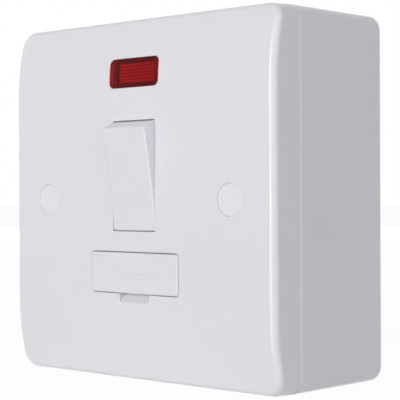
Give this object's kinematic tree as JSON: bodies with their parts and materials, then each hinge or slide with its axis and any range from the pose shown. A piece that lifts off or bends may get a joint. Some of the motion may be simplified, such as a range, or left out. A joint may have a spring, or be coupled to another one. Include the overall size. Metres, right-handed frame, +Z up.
{
  "type": "fused spur unit",
  "caption": "Switched fused connection unit with a tilting rocker, a red neon window and a pull-out fuse carrier, on a surface-mounting wall box.",
  "frame": {"origin": "centre of the box's back face, which lies on the wall", "axes": "+Y into the wall, +Z up the wall, +X to the right seen from the front"},
  "size_m": [0.086, 0.0421, 0.086],
  "materials": {
    "plate_white": "glossy moulded urea plastic",
    "box_white": "glossy moulded plastic",
    "rocker_white": "glossy moulded plastic",
    "carrier_white": "glossy moulded plastic",
    "cap_white": "glossy moulded plastic",
    "lens_red": "clear red moulded plastic",
    "housing_grey": "moulded thermoset",
    "plunger_nylon": "nylon",
    "brass": "pressed strip",
    "steel": "zinc plated",
    "spring_steel": "spring wire",
    "silver": "silver alloy",
    "ceramic": "glazed",
    "lamp_glass": "clear glass",
    "resistor_tan": "lacquered"
  },
  "bodies": {
    "unit": {"pattress_box": "box_white", "lug_inserts": "brass", "front_plate": "plate_white", "fixing_screws": "steel", "screw_cap_left": "cap_white", "screw_cap_right": "cap_white", "fixed_tips": "silver", "supply_live_terminal": "brass", "supply_neutral_terminal": "brass", "switched_live_strap": "brass", "load_live_terminal": "brass", "load_neutral_terminal": "brass", "earth_terminal": "brass", "earth_strap": "brass", "terminal_screws": "steel", "rear_housing": "housing_grey", "housing_screws": "steel", "neon_lens": "lens_red", "neon_lamp": "lamp_glass", "neon_resistor": "resistor_tan", "neon_leads": "steel"},
    "rocker": {"rocker": "rocker_white", "plunger_live": "plunger_nylon", "plunger_neutral": "plunger_nylon", "plunger_spring_live": "spring_steel", "plunger_spring_neutral": "spring_steel"},
    "live_contact": {"moving_contact_live": "brass", "moving_tip_live": "silver"},
    "neutral_contact": {"moving_contact_neutral": "brass", "moving_tip_neutral": "silver"},
    "fuse_drawer": {"fuse_carrier": "carrier_white", "fuse_tube": "ceramic", "fuse_end_caps": "steel"}
  },
  "joints": [
    {"name": "rocker_tilt", "type": "hinge", "parent": "unit", "child": "rocker", "pos_m": [0, -0.03488, 0.0056], "axis": [-1, 0, 0], "range_deg": [0, 17.2]},
    {"name": "live_contact_tilt", "type": "hinge", "parent": "unit", "child": "live_contact", "pos_m": [-0.0036, -0.02433, 0.0056], "axis": [-1, 0, 0], "range_deg": [-21.6, 0]},
    {"name": "neutral_contact_tilt", "type": "hinge", "parent": "unit", "child": "neutral_contact", "pos_m": [0.0036, -0.02433, 0.0056], "axis": [-1, 0, 0], "range_deg": [-21.6, 0]},
    {"name": "fuse_pull", "type": "slide", "parent": "unit", "child": "fuse_drawer", "axis": [0, -1, 0], "range_m": [0, 0.02]}
  ],
  "couplings": [
    {"joint": "live_contact_tilt", "follows": "rocker_tilt", "ratio": -1.25},
    {"joint": "neutral_contact_tilt", "follows": "rocker_tilt", "ratio": -1.25}
  ]
}
